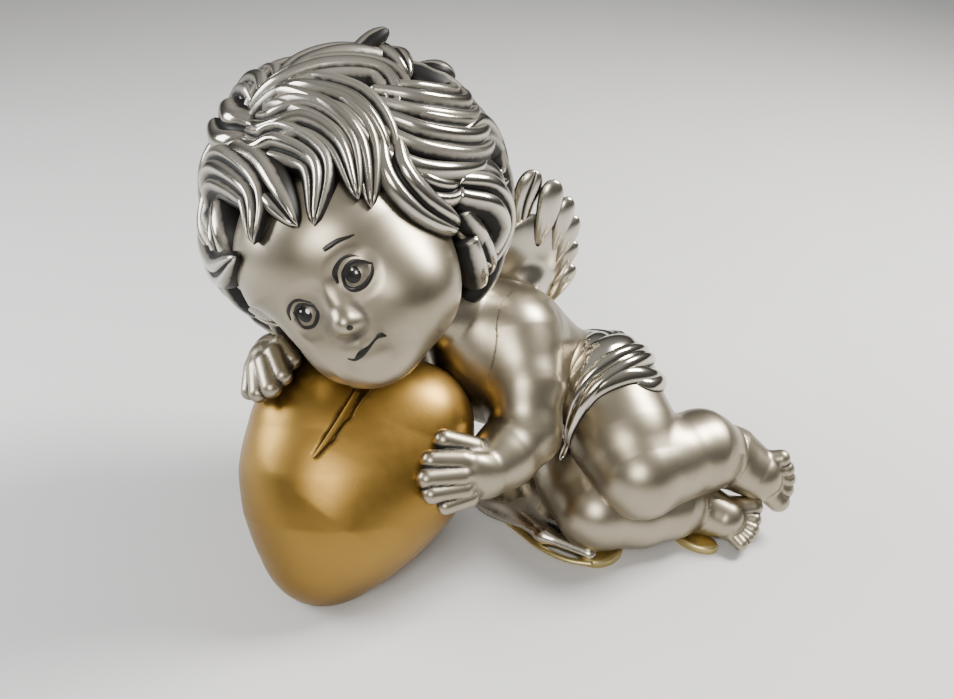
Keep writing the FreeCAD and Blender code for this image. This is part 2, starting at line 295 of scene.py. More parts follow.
# Middle across, forward and up; radii; how softly it melts into the rest. Those off the middle are pairs.
SKULL_AND_CHEEKS = [((0, 0, -0.3), (15.7, 15.6, 16.4), 4), ((0, 6.6, 6.4), (11.5, 9.4, 8.5), 7),
                    ((6.6, 7.2, -6.8), (7.4, 7.4, 6.9), 6), ((0, 10.2, -9.4), (5.6, 4.5, 4.4), 4),
                    ((0, 9.3, -13.4), (4.6, 4.4, 3.2), 4)]
NOSE_AND_LIPS = [((0, 16.9, -5.7), (1.4, 1.4, 1.3), 1.6), ((1.2, 15.7, -6.2), (0.85, 0.95, 0.8), 1.4),
                 ((1.0, 14.2, -9.4), (1.8, 0.9, 0.75), 1.5), ((0, 14.1, -11.3), (2.0, 1.0, 0.85), 1.5)]


def eye_form(face, local):
    """Sinks a shallow socket and sets an eyeball and its lid in it; the painted lines come later."""
    face = carve(face, egg(local, (4.6, 18.2, -1.3), (3.7, 2.7, 2.7)), 2.2)
    lid = egg(local, (4.5, 13.3, -1.0), (3.25, 2.75, 2.85))
    opening = np.hypot((local[:, 0] - 4.5) / 2.3, (local[:, 2] + 1.45) / 1.75) - 1
    lid = carve(lid, opening * 1.7, 0.35)
    eyeball = egg(local, (4.45, 13.2, -1.4), (2.85, 2.6, 2.6))
    return blend(blend(face, lid, 1.0), eyeball, 0.35)


def head_form(points):
    """Skull, cheeks, chin, eyes, nose, lips and ears, in the head's own axes, mirrored across."""
    local = (points - FACE) @ HEAD_AXES.T
    beyond = np.maximum(-local[:, 0] - PRESSED_FROM, 0) * np.clip((3 - local[:, 2]) / 9, 0, 1)
    local[:, 0] -= PRESSED_SHARE * beyond * (local[:, 1] > -20)
    level = local.copy()
    level[:, 2] -= EYE_SLANT * local[:, 0]
    local[:, 0] = np.abs(local[:, 0])
    level[:, 0] = local[:, 0]
    form = egg(local, (0, -11.5, 6.8), (18.3, 18.6, 18.3))
    for middle, radii, width in SKULL_AND_CHEEKS:
        form = blend(form, egg(local, middle, radii), width)
    form = eye_form(form, level)
    form = blend(form, roll(local, (0, 14.0, -0.6, 1.2), (0, 16.4, -4.9, 1.3)), 2.2)
    for middle, radii, width in NOSE_AND_LIPS:
        form = blend(form, egg(local, middle, radii), width)
    return blend(form, ring(local, (16.8, -4.2, -3.4), 2.5, 1.0), 0.8)


# %% [markdown]
# ## Body and limbs
# The chubby limbs are chains of rolls. Hands and feet are a flat palm or sole with fingers or toes laid on
# it; the digits are joined to the palm softly but to each other hardly at all, so that a dark line stays
# between them.

# %% Limb forms
def digits(points, palm, knuckles, tips, width=0.7):
    """Fingers or toes: a roll from each knuckle to its tip, softly joined to the palm, sharp between."""
    fingers = np.full(len(points), 99.0)
    for knuckle, tip in zip(knuckles, tips):
        fingers = np.minimum(fingers, roll(points, knuckle, tip))
    return blend(palm, fingers, width)


LEFT_FINGERS = [at(28.4, -3.8, 27.6, 1.7), at(26.2, -6.7, 25.9, 1.65), at(25.4, -8.9, 24.1, 1.65),
                at(26.0, -10.2, 22.1, 1.55), at(28.2, -10.5, 19.9, 1.4)]
LEFT_KNUCKLES = [at(33.2, -3.0, 25.2, 1.9), at(31.0, -6.0, 25.0, 1.9), at(30.8, -7.6, 23.3, 1.9),
                 at(31.2, -8.4, 21.4, 1.8), at(32.2, -8.6, 19.8, 1.6)]
RIGHT_FINGERS = [at(5.2, 5.2, 37.6, 1.7), at(4.0, 2.2, 36.6, 1.65), at(2.3, 0.7, 35.4, 1.65),
                 at(0.3, 1.2, 34.2, 1.55), at(-1.2, 3.4, 33.2, 1.45)]
RIGHT_KNUCKLES = [at(3.6, 7.6, 38.6, 1.9), at(2.8, 5.6, 38.2, 1.9), at(1.4, 4.8, 37.2, 1.9),
                  at(0.2, 5.2, 36.2, 1.8), at(-0.6, 6.4, 35.4, 1.7)]
LEFT_TOES = [at(89.6, 3.5, 15.0, 1.6), at(90.6, 2.9, 13.1, 1.55), at(91.0, 2.5, 11.2, 1.6),
             at(90.8, 2.1, 9.2, 1.7), at(89.8, 1.5, 7.1, 2.1)]
RIGHT_TOES = [at(84.9, 1.0, 6.4, 1.9), at(84.7, -0.8, 5.0, 1.45), at(84.1, -2.1, 4.0, 1.35),
              at(83.1, -3.1, 3.1, 1.3), at(81.7, -3.9, 2.4, 1.3)]


def toward(tips, root, share, grow):
    """Knuckles: points a share of the way from each tip to a root, a little thicker than the tip."""
    return [tuple(np.array(t[:3]) + (np.array(root) - t[:3]) * share) + (t[3] * grow,) for t in tips]


def torso_form(points):
    return chain(points, [NECK, CHEST, WAIST, PELVIS], 5)


def left_arm_form(points):
    palm = blend(chain(points, LEFT_ARM, 1.2), egg(points, at(32.8, -5.8, 22.3), (3.9, 2.9, 3.9)), 1.6)
    return digits(points, palm, LEFT_KNUCKLES, LEFT_FINGERS)


def right_arm_form(points):
    palm = blend(chain(points, RIGHT_ARM, 1.2), egg(points, at(1.7, 7.6, 36.2), (3.4, 3.6, 3.2)), 1.6)
    return digits(points, palm, RIGHT_KNUCKLES, RIGHT_FINGERS)


def left_leg_form(points):
    return chain(points, LEFT_LEG, 1.5)


def right_leg_form(points):
    return chain(points, RIGHT_LEG, 1.5)


def left_foot_form(points):
    sole = chain(points, [at(81.8, 6.2, 13.4, 5.8), at(86.0, 3.9, 11.3, 4.6)], 1)
    return digits(points, sole, toward(LEFT_TOES, at(84, 5, 12.6)[:3], 0.5, 1.3), LEFT_TOES, 0.5)


def right_foot_form(points):
    sole = chain(points, [at(75.8, 2.8, 5.5, 4.8), at(79.6, 0.4, 4.8, 3.9)], 1)
    return digits(points, sole, toward(RIGHT_TOES, at(78, 2, 5)[:3], 0.5, 1.3), RIGHT_TOES, 0.5)


# %% [markdown]
# ## Cutting the body into its castings
# Neighbours are blended into each other before they are cut apart, so the skin runs on without a step from
# chest to arm. A point belongs to the form it is nearer to, and the cut is where both are equally near.

# %% Cast the skin
FORMS = {"head": head_form, "torso": torso_form, "left_arm": left_arm_form, "right_arm": right_arm_form,
         "left_leg": left_leg_form, "right_leg": right_leg_form, "left_foot": left_foot_form,
         "right_foot": right_foot_form}
HIDDEN_LIP = 0.8      # how far an under-lying casting runs on below its neighbour
INSET = 0.04          # and how far below the shared surface it lies there
TORSO_MARGIN = 11.0   # the hips run on under the loincloth, past the CAD torso's box


def shared_field(name, over=(), under=(), width=2.0):
    """A casting's field: blended with its neighbours, then cut where a neighbour is nearer.

    It runs on a little below those in under, and stops exactly at those in over."""
    def field(points):
        own = FORMS[name](points)
        whole = own
        cut = np.full(len(points), -99.0)
        for neighbour in (*over, *under):
            other = FORMS[neighbour](points)
            whole = blend(whole, other, width)
            border = (own - other) / 2
            if neighbour in under:
                whole = whole + INSET * np.clip(1 + border / HIDDEN_LIP, 0, 1)
                border = border - HIDDEN_LIP
            cut = np.maximum(cut, border)
        return np.maximum(whole, cut)
    return field


def above_ground(field):
    """The same field, cut flat at the ground."""
    return lambda points: np.maximum(field(points), 0.02 - points[:, 2])


def box_round(node, margin=4.0):
    """A CAD node's box in millimetres, grown by a margin."""
    low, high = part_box(node)
    return np.array(low) / MM - margin, np.array(high) / MM + margin


SKIN = {
    "head": (shared_field("head", over=("torso",), width=1.5), 0.30),
    "torso": (shared_field("torso", under=("head", "left_arm", "right_arm"), width=3.0), 0.42),
    "left_arm": (shared_field("left_arm", over=("torso",), width=3.0), 0.30),
    "right_arm": (shared_field("right_arm", over=("torso",), width=3.0), 0.34),
    "left_leg": (shared_field("left_leg", under=("left_foot",), width=1.2), 0.36),
    "right_leg": (above_ground(shared_field("right_leg", under=("right_foot",), width=1.2)), 0.36),
    "left_foot": (shared_field("left_foot", over=("left_leg",), width=1.2), 0.24),
    "right_foot": (above_ground(shared_field("right_foot", over=("right_leg",), width=1.2)), 0.24),
}
for name, (field, step) in SKIN.items():
    low, high = box_round(name, TORSO_MARGIN if name == "torso" else 4.0)
    cast_piece(name + "_skin", field, low, high, step, [name], "skin_silver")

# %% [markdown]
# ## The heart
# Two swollen lobes run down to one tip. A round belly joins them, and a crease runs from the notch between
# the lobes down the front, shallower as it goes, and fades out above the middle.

# %% Heart form
TIP = at(9.0, -4.0, 6.2, 6.4)
RIGHT_SIDE = [at(9.2, -1.0, 12.8, 11.0), at(9.0, 2.4, 18.8, 11.9), at(9.4, 6.0, 24.6, 11.2)]
LEFT_SIDE = [at(14.3, -1.3, 12.4, 11.2), at(20.2, 2.2, 17.6, 12.1), at(23.4, 6.0, 23.4, 11.2)]
CREASE = [at(8.8, -7.4, 28.4, 0.3), at(10.9, -5.6, 30.3, 0.6), at(13.3, -2.8, 32.4, 0.8),
          at(16.0, 1.3, 34.4, 1.0), at(19.0, 5.4, 35.4, 1.2)]


def plain_heart(points):
    """Both sides rise from the tip as chains of balls and melt into one broad front."""
    right = chain(points, [TIP] + RIGHT_SIDE, 4)
    left = chain(points, [TIP] + LEFT_SIDE, 4)
    return blend(right, left, 9.0)


def heart_form(points):
    """The melted sides, with one crease scored from the notch between them down the front."""
    form = plain_heart(points)
    score = chain(points, [seat_on(plain_heart, spot) for spot in CREASE], 1)
    return carve(form, score, 0.35)


def seat_on(field, spot):
    """Moves a station along the slope until its middle lies on the surface; its radius stays."""
    middle = settle(field, np.array([spot[:3]], float), 6.0)[0]
    return (*middle, spot[3])


cast_piece("heart_body", above_ground(heart_form), *box_round("heart"), 0.4, ["heart"], "heart_gold")

# %% [markdown]
# ## Profiles along a path
# Curls, feathers, cloth folds and brush strokes are all one kind of thing: a closed profile carried along a
# path over the body. At each step the path gives a direction ahead, the surface gives a direction away, and
# the two give the sideways direction in which the profile is spread.

# %% Carrying a profile along a path
ALONG, AROUND = 40, 56     # steps along a ribbon, and points round its profile


def smooth_path(control, count):
    """Points of a curve through the control points: a cubic between each two, with slopes from their
    neighbours."""
    control = np.array(control, float)
    before, after = 2 * control[0] - control[1], 2 * control[-1] - control[-2]
    padded = np.concatenate([[before], control, [after]])
    spot = np.linspace(0, len(control) - 1, count)
    span = np.minimum(spot.astype(int), len(control) - 2)
    t = (spot - span)[:, None]
    p0, p1, p2, p3 = (padded[span + i] for i in range(4))
    return 0.5 * (2 * p1 + (p2 - p0) * t + (2 * p0 - 5 * p1 + 4 * p2 - p3) * t ** 2
                  + (3 * p1 - p0 - 3 * p2 + p3) * t ** 3)


def tube_faces(along, around):
    """Faces of a closed tube of rings, with one face over each end."""
    i, j = np.meshgrid(np.arange(along - 1), np.arange(around), indexing="ij")
    k = (j + 1) % around
    quads = np.stack([i * around + j, i * around + k, (i + 1) * around + k, (i + 1) * around + j], -1)
    first = list(range(around))[::-1]
    last = list(range((along - 1) * around, along * around))
    return quads.reshape(-1, 4).tolist() + [first, last]


def carry(line, away, half_width, height, across, up):
    """Points of the profile (across, up) carried along a line, scaled by the width and height there."""
    ahead = np.gradient(line, axis=0)
    ahead /= np.linalg.norm(ahead, axis=1)[:, None]
    away = away - ahead * np.einsum("ij,ij->i", away, ahead)[:, None]
    away /= np.linalg.norm(away, axis=1)[:, None]
    side = np.cross(away, ahead)
    points = (line[:, None] + side[:, None] * (half_width[:, None] * across)[..., None]
              + away[:, None] * (height[:, None] * up)[..., None])
    return points.reshape(-1, 3)


def round_profile(around):
    """A circle: the cosine across and the sine up."""
    angle = np.linspace(0, 2 * np.pi, around, endpoint=False)
    return np.cos(angle), np.sin(angle)


def gathered(surfaces):
    """Several surfaces as one mesh: their points one after another, their faces renumbered."""
    points, faces, wash, start = [], [], [], 0
    for part_points, part_faces, part_wash in surfaces:
        points.append(part_points)
        wash.append(part_wash)
        faces += [[start + i for i in face] for face in part_faces]
        start += len(part_points)
    return np.concatenate(points), faces, np.concatenate(wash)


def gathered_piece(name, surfaces, node):
    """Ribbons, feathers, folds or strokes as one piece that stands for one CAD node."""
    points, faces, wash = gathered(surfaces)
    make_piece(name, points, faces, [node], wash, crisp=False)


# %% [markdown]
# ## Curls
# The hair is modelled as fat locks that lie over each other. Every lock is a ribbon that follows a path over
# the skull, with one to three rounded strands side by side and a sharp groove between strands. Each path is
# a few points given by turn (0 at the nose, positive to the child's left), climb, and lift off the skull.

# %% One lock of hair
HAIR_MIDDLE = np.array(at(16.4, 20.6, 56.5))
HAIR_RADIUS = 19.9
LIFT_SHARE = 0.62     # millimetres of lift for each unit in the paths below
ROOT = 0.16           # how far along its swelling curve a lock begins


def over_head(turn, climb, lift):
    """A point over the skull from two angles in degrees and a lift."""
    turn, climb = np.radians(turn), np.radians(climb)
    level = FORWARD * np.cos(turn) + LEFT * np.sin(turn)
    out = level * np.cos(climb) + CROWN * np.sin(climb)
    return HAIR_MIDDLE + (HAIR_RADIUS + lift * LIFT_SHARE) * out


def lock_surface(path, half_width, thick, strands):
    """A lock: across the ribbon the top is a dome of rounded strands, a sine of the place between grooves.

    It swells from a narrow root and closes in a point. Returns points, faces and the wash in the grooves."""
    line = smooth_path([over_head(*spot) for spot in path], ALONG)
    t = np.linspace(0, 1, ALONG)
    swell = np.maximum(np.sin(np.pi * (ROOT + (1 - ROOT) * t) ** 0.85) ** 0.55, 0.02)
    across, up = round_profile(AROUND)
    strand = np.abs(np.sin(np.pi * strands * (across + 1) / 2)) ** 0.5
    top = np.where(up > 0, np.abs(up) ** 0.7 * (0.5 + 0.5 * strand), up * 0.8)
    points = carry(line, line - HAIR_MIDDLE, half_width * swell, thick * swell ** 0.8, across, top)
    groove = np.where(up > 0.05, np.clip(1.35 - 2.0 * strand ** 2, 0, 1), 1.0)
    flank = np.clip(1.9 - 2.3 * np.maximum(up, 0), 0, 1)
    return points, tube_faces(ALONG, AROUND), np.tile(np.maximum(groove, flank), ALONG)


def hair_piece(name, locks):
    """Locks given as (path, half width, thickness, strands), as one piece of the hair."""
    gathered_piece(name, [lock_surface(*lock) for lock in locks], "hair_cap")


# %% [markdown]
# ## Laying the locks
# The fringe falls on the forehead in pointed waves. Over it the crown sweeps to the child's left in big
# bowls, with a tuft standing up behind. The temples end in hooked curls.

# %% Fringe, crown and temples
hair_piece("hair_fringe", [
    ([(-2, 60, 1.0), (14, 50, 2.6), (25, 31, 3.4), (26, 15, 4.0), (17, -4, 9.6)], 4.2, 3.6, 3),
    ([(-16, 50, 1.0), (-3, 40, 2.4), (14, 34, 3.4), (20, 19, 4.6), (15, 0, 10.0)], 4.2, 3.6, 3),
    ([(-24, 46, 1.0), (-10, 35, 2.6), (1, 31, 3.6), (9, 16, 5.6), (1, 0, 13.2)], 4.2, 3.6, 3),
    ([(-40, 42, 1.0), (-26, 37, 2.8), (-13, 27, 4.6), (-6, 13, 9.4), (-3, 2, 13.4)], 4.0, 3.4, 2),
    ([(-66, 30, 1.6), (-46, 38, 3.4), (-29, 34, 4.4), (-13, 17, 9.2), (-17, 4, 14.2)], 4.2, 3.6, 3),
    ([(-72, 30, 1.6), (-70, 16, 4.0), (-48, 4, 7.0), (-26, 4, 13.0)], 3.8, 3.4, 2),
    ([(4, 60, 1.0), (22, 46, 3.4), (34, 30, 3.4), (34, 14, 3.0), (28, 4, 3.4)], 4.2, 3.6, 3),
])
hair_piece("hair_crown", [
    ([(-20, 62, 1.0), (10, 60, 2.6), (40, 52, 3.2), (58, 38, 3.0), (50, 24, 2.4),
      (36, 26, 1.8)], 4.6, 3.7, 3),
    ([(10, 66, 2.0), (40, 66, 3.6), (72, 58, 3.8), (92, 44, 3.2), (100, 30, 2.0)], 4.2, 3.4, 2),
    ([(84, 60, 0.5), (86, 56, 5.0), (88, 52, 9.0), (90, 48, 12.5)], 2.2, 2.2, 1),
    ([(104, 40, 0.5), (100, 34, 4.0), (98, 28, 7.6), (102, 22, 9.0)], 2.4, 2.2, 1),
    ([(-40, 60, 1.0), (-30, 74, 2.6), (20, 84, 3.4), (90, 78, 2.6), (110, 66, 1.0)], 4.8, 3.7, 3),
    ([(100, 80, 1.0), (104, 62, 3.4), (96, 48, 4.4), (84, 42, 4.6), (78, 34, 3.0)], 4.2, 3.4, 2),
    ([(-60, 74, 0.5), (-90, 72, 3.0), (-120, 60, 3.4), (-126, 44, 1.8)], 4.6, 3.7, 3),
])
hair_piece("hair_left_side", [
    ([(46, 34, 1.4), (58, 20, 2.8), (78, 12, 3.6), (96, 18, 3.8), (102, 32, 3.0)], 4.4, 3.7, 3),
    ([(40, 24, 1.2), (50, 9, 2.4), (70, 0, 3.0), (92, 2, 3.2), (106, 14, 2.0)], 4.6, 3.7, 3),
    ([(34, 22, 1.0), (40, 5, 2.0), (54, -4, 2.4), (72, -8, 2.4), (84, -2, 1.6)], 3.6, 3.2, 2),
    ([(40, 18, 1.6), (31, 3, 3.4), (33, -11, 3.8), (41, -22, 3.4), (50, -29, 1.6)], 3.4, 3.2, 2),
    ([(36, 10, 1.0), (38, -6, 1.8), (50, -14, 1.8), (60, -10, 1.4)], 3.0, 3.0, 2),
    ([(64, 2, 1.0), (84, 4, 2.6), (100, -6, 3.2), (96, -20, 2.8), (80, -18, 2.0)], 4.6, 3.9, 3),
    ([(62, -14, 0.6), (78, -22, 2.0), (92, -32, 2.2), (98, -44, 1.4)], 3.8, 3.4, 2),
    ([(58, -22, 0.6), (68, -36, 1.4), (84, -46, 1.4), (92, -54, 0.4)], 3.4, 3.2, 2),
    ([(66, -8, 0.8), (80, -20, 2.2), (78, -36, 2.0), (66, -42, 0.8)], 3.6, 3.2, 2),
    ([(54, -14, 1.6), (68, -22, 4.0), (78, -34, 4.4), (72, -46, 3.4), (62, -44, 2.4)], 3.8, 3.4, 2),
    ([(84, -30, 1.4), (100, -34, 3.6), (104, -46, 3.4), (92, -54, 2.6), (80, -50, 1.6)], 4.2, 3.4, 3),
    ([(58, -34, 1.6), (66, -48, 2.6), (84, -58, 2.4), (104, -60, 1.4)], 3.8, 3.2, 2),
    ([(100, -2, 1.4), (110, 8, 3.4), (104, 22, 4.2), (92, 26, 4.0)], 3.8, 3.4, 2),
    ([(86, -2, 1.0), (106, -8, 2.8), (116, -22, 3.0), (108, -36, 2.4), (94, -34, 1.6)], 4.4, 3.7, 3),
])
hair_piece("hair_right_side", [
    ([(-48, 40, 1.0), (-30, 35, 2.6), (-15, 20, 2.4), (-18, 6, 1.6), (-32, 2, 0.6)], 4.8, 3.9, 3),
    ([(-62, 40, 1.0), (-64, 22, 2.4), (-50, 10, 2.4), (-36, 6, 1.4)], 4.6, 3.9, 3),
    ([(-56, 62, 1.0), (-70, 46, 2.8), (-78, 28, 2.8), (-70, 12, 1.6)], 4.8, 3.7, 3),
    ([(-22, 50, 1.0), (-36, 54, 3.2), (-56, 62, 4.6), (-80, 58, 3.6), (-88, 46, 2.0)], 4.6, 3.7, 2),
    ([(-4, 62, 1.0), (-10, 74, 3.4), (-60, 78, 5.0), (-84, 66, 4.2), (-90, 54, 2.4)], 4.6, 3.7, 3),
    ([(-66, 10, 1.0), (-72, -6, 2.0), (-64, -20, 1.6), (-56, -28, 0.6)], 4.2, 3.4, 2),
    ([(-70, 38, 1.6), (-80, 20, 3.4), (-72, 4, 3.0), (-58, -4, 1.4)], 4.4, 3.8, 2),
    ([(-52, 30, 1.0), (-46, 14, 3.0), (-52, 0, 2.4), (-60, -12, 1.0)], 3.8, 3.6, 2),
    ([(-84, 30, 1.0), (-92, 12, 2.6), (-84, -4, 2.4), (-74, -12, 1.2)], 4.6, 3.7, 3),
])

# %% [markdown]
# ## The back of the hair
# The back is seldom seen, so it is laid by a loop in rows of S-shaped locks. Neighbours bend opposite ways,
# and each row starts between the locks of the row above. A black ball closes the gaps beneath.

# %% Back of the head
back_locks = []
BACK_ROWS = [(64, 4, 122, 232), (44, 6, 112, 258), (24, 7, 110, 270), (4, 7, 114, 274), (-16, 7, 112, 278),
             (-36, 6, 116, 272), (-54, 5, 118, 262)]    # climb, locks in the row, first and last turn
for row, (climb, count, first, last) in enumerate(BACK_ROWS):
    for number in range(count):
        turn = first + (last - first) * (number + 0.4 * (row % 2)) / (count - 1)
        bend = 7 if (number + row) % 2 else -5
        path = [(turn, climb + 22, 0.4), (turn + bend, climb + 10, 2.2), (turn + bend, climb - 4, 3.6),
                (turn - bend, climb - 16, 3.2), (turn - 2 * bend, climb - 22, 1.6)]
        back_locks.append((path, 5.8, 3.6, 3))
hair_piece("hair_back", back_locks)


def hair_base_form(points):
    """A ball under the locks, cut off by the plane of the hairline; all of it is black wash."""
    ball = np.linalg.norm(points - HAIR_MIDDLE, axis=1) - HAIR_RADIUS
    face_side = (points - HAIR_MIDDLE) @ (FORWARD * 0.84 - CROWN * 0.54) - 12.5
    neck_side = 11.5 - np.linalg.norm(points - at(31.0, 18, 38.5), axis=1)
    return np.maximum(ball, np.maximum(face_side, neck_side - 3))


base_points, base_faces = surface_cells(hair_base_form, HAIR_MIDDLE - 23, HAIR_MIDDLE + 23, 0.8)
make_piece("hair_base", base_points, base_faces.tolist(), ["hair_cap"],
           np.ones(len(base_points)))

# %% [markdown]
# ## Painted lines of the face
# The eyes, the one brow that shows and the mouth are drawn on the smooth face with a fine brush of black.
# A stroke here is a very flat closed tube that follows the skin, broad in the middle and thin at its ends.
# Its points are given across and up the face, and each is pushed back until it meets the skin.

# %% Strokes and spots
BRUSH = 1.2               # the brush's width, against the widths written in the strokes
PAINT_THICKNESS = 0.11    # how proud of the skin a stroke stands


def on_skin(across, up):
    """Steps back from in front of the face until the distance to the skin is nothing."""
    spot = on_head(0, 24, 0) + np.outer(across, LEFT) + np.outer(up, CROWN)
    for _ in range(40):
        spot = spot - FORWARD * head_form(spot)[:, None] * 0.7
    return spot


def flat_tube(line, away, half_width, height, around=12):
    """A closed tube with an elliptical profile, laid along a line with its flat side on the surface."""
    across, up = round_profile(around)
    points = carry(line, away, half_width, np.full(len(line), height), across, up)
    return points, tube_faces(len(line), around), np.ones(len(points))


def stroke(control):
    """A brush stroke over the face from points (across, up, half width)."""
    path = smooth_path(control, 16 * len(control))
    spots = on_skin(path[:, 0], path[:, 1])
    half_width = np.maximum(path[:, 2] * BRUSH, 0.05)
    return flat_tube(spots, field_slope(head_form, spots), half_width, PAINT_THICKNESS)


def spot_of_paint(across, up, wide, tall, height):
    """A round spot of paint: a flattened ball on the skin, from the two angles of a sphere."""
    turn, climb = np.meshgrid(np.linspace(0, 2 * np.pi, 24, endpoint=False), np.linspace(-1.45, 1.45, 9))
    out_across = across + wide * np.cos(turn) * np.cos(climb)
    out_up = up + tall * np.sin(turn) * np.cos(climb)
    base = on_skin(out_across.ravel(), out_up.ravel())
    points = base + FORWARD * (height * np.sin(climb).ravel())[:, None]
    return points, tube_faces(9, 24), np.ones(len(points))


def paint(name, surfaces):
    """Strokes and spots of one colour as one piece on the head."""
    gathered_piece(name, surfaces, "head")


# %% [markdown]
# ## Drawing the face
# Each eye has an upper and a lower line, a crease of the lid above, a black pupil and small white spots
# of painted highlight, glints of light painted on. One brow shows under the hair. The mouth is a single
# stroke that thickens in the middle, and the visible nostril is a black spot.

# %% Eyes, brow and mouth
paint("paint_lines", [
    # left eye: upper line, lower line, crease of the lid
    stroke([(3.0, 0.3, 0.2), (4.4, 1.0, 0.26), (5.7, 0.8, 0.28), (7.2, -0.5, 0.12)]),
    stroke([(7.2, -0.5, 0.1), (6.4, -1.7, 0.24), (4.8, -2.5, 0.34), (3.2, -2.3, 0.3), (2.5, -1.2, 0.2),
            (3.0, 0.3, 0.18)]),
    stroke([(1.8, -0.5, 0.16), (2.3, 1.0, 0.34), (3.9, 2.0, 0.24), (5.2, 1.9, 0.16), (6.2, 1.2, 0.05)]),
    # right eye: upper line, lower line, crease of the lid
    stroke([(-5.9, -1.0, 0.18), (-4.7, -0.4, 0.26), (-3.8, -0.7, 0.24), (-2.9, -1.5, 0.2)]),
    stroke([(-2.9, -1.5, 0.16), (-3.0, -2.6, 0.28), (-4.2, -3.7, 0.26), (-5.4, -3.6, 0.22),
            (-6.0, -2.8, 0.16), (-5.9, -1.0, 0.14)]),
    stroke([(-7.0, -1.6, 0.1), (-6.6, -0.4, 0.28), (-5.3, 0.4, 0.2), (-4.2, 0.2, 0.18),
            (-2.9, -0.9, 0.08)]),
    # brow, then mouth
    stroke([(2.8, 4.3, 0.26), (3.6, 4.35, 0.32), (5.0, 4.4, 0.28), (6.2, 4.15, 0.2), (7.2, 4.0, 0.08)]),
    stroke([(-2.8, -10.1, 0.1), (-2.0, -10.7, 0.2), (-0.7, -10.4, 0.42), (0.8, -10.1, 0.22),
            (2.2, -9.6, 0.16), (3.0, -9.5, 0.34), (3.6, -10.0, 0.12)]),
])
paint("paint_pupils", [
    spot_of_paint(4.15, -0.5, 1.15, 1.2, 0.12), spot_of_paint(-4.7, -1.9, 1.0, 1.15, 0.12),
    spot_of_paint(0.62, -6.35, 0.42, 0.42, 0.08),
])
# White spots of painted highlight on the eyes: glints of light given as paint.
paint("paint_glints", [
    spot_of_paint(4.45, 0.15, 0.2, 0.2, 0.2), spot_of_paint(4.75, -0.45, 0.16, 0.26, 0.2),
    spot_of_paint(-4.9, -1.2, 0.17, 0.17, 0.2), spot_of_paint(-4.0, -1.7, 0.28, 0.4, 0.2),
])


# %% [markdown]
# ## The bright edge of the crease
# One side of the heart's crease shines. It is made as a slim raised ridge beside the groove, thin at its
# lower end.

# %% Crease edge
CREASE_EDGE = [at(8.3, -7.9, 28.3, 0.2), at(10.4, -6.2, 30.2, 0.42), at(12.8, -3.5, 32.3, 0.5),
               at(15.4, 0.4, 34.5, 0.45)]
edge_path = smooth_path(CREASE_EDGE, ALONG)
edge_spots = settle(plain_heart, edge_path[:, :3], 3.0)
points, faces, wash = flat_tube(edge_spots, field_slope(plain_heart, edge_spots), edge_path[:, 3], 0.32, 16)
make_piece("heart_crease_edge", points, faces, ["heart"], wash * 0, crisp=False)

# %% [markdown]
# ## Wings
# Each wing is a smooth thick panel from the back, ending in fat round-tipped feathers. A feather is the same
# lock as in the hair, but widest near its tip, so its profile swells late and closes round.

# %% Feathers
def feather(root, middle, tip, half_width, thick, out, strands=1):
    """A round-tipped feather: a ribbon that opens from a narrow root and closes in a round end."""
    line = smooth_path([at(*root), at(*middle), at(*tip)], ALONG)
    t = np.linspace(0, 1, ALONG)
    swell = np.maximum((0.02 + 0.98 * t) ** 0.6 * np.sqrt(1 - 0.999 * t ** 4), 0.03)
    across, up = round_profile(AROUND)
    cleft = strands > 1     # a second strand means one groove down the middle
    top = up * (1 - 0.3 * cleft * np.exp(-(across / 0.13) ** 2))
    away = np.broadcast_to(np.array(out, float), line.shape)
    points = carry(line, away, half_width * swell, thick * swell, across, top)
    edge = np.clip(1.4 - 2.8 * np.abs(up), 0, 1) + cleft * 0.9 * np.exp(-(across / 0.12) ** 2)
    root_wash = np.clip(1 - t / 0.10, 0, 1)
    wash = np.clip(np.maximum(edge[None], root_wash[:, None]), 0, 1)
    return points, tube_faces(ALONG, AROUND), wash.ravel()


def panel_form(points, middle, radii, axes, root, root_end):
    """A thick rounded panel and the stub that joins it to the back."""
    return blend(egg(points, middle, radii, axes), roll(points, root, root_end), 3.0)


# %% [markdown]
# ## The left wing
# It stands up behind the shoulder and faces the front. Two broad feathers rise from its top, the first with
# a cleft, and four narrow ones follow down its outer side.

# %% Left wing
LEFT_WING_OUT = np.array((0.12, -0.98, 0.14))
LEFT_WING_AXES = np.array([(0.96, 0.10, -0.25), (-0.10, 0.98, 0.05), (0.25, -0.05, 0.97)])


def left_panel_form(points):
    """The left wing's panel, a flat egg, with its stub."""
    return panel_form(points, at(46.2, 29.0, 41.6), (7.6, 1.7, 10.2), LEFT_WING_AXES,
                      at(46.0, 28.2, 33.0, 3.4), at(46.5, 29.0, 38.0, 3.0))


plain_cast("left_wing_panel", left_panel_form, at(34, 22, 26), at(58, 36, 56), 0.5, ["left_wing"],
           0.0)
left_feathers = [
    feather((44.4, 28.6, 47.2), (44.9, 28.4, 54.0), (46.6, 28.6, 59.6), 3.2, 1.6, LEFT_WING_OUT, 2),
    feather((47.6, 27.6, 45.6), (49.0, 27.6, 52.0), (49.9, 28.2, 58.0), 3.2, 1.6, LEFT_WING_OUT),
    feather((50.2, 28.4, 43.2), (51.9, 28.4, 49.5), (52.8, 28.8, 54.6), 2.5, 1.5, LEFT_WING_OUT),
    feather((51.0, 28.6, 41.2), (53.2, 28.6, 46.6), (54.4, 29.0, 51.0), 2.3, 1.4, LEFT_WING_OUT),
    feather((51.0, 28.8, 37.2), (53.2, 28.8, 42.4), (54.9, 29.2, 46.0), 2.2, 1.4, LEFT_WING_OUT),
    feather((50.6, 29.0, 33.0), (53.0, 29.0, 37.6), (55.1, 29.4, 41.2), 2.2, 1.4, LEFT_WING_OUT),
]
gathered_piece("left_wing_feathers", left_feathers, "left_wing")

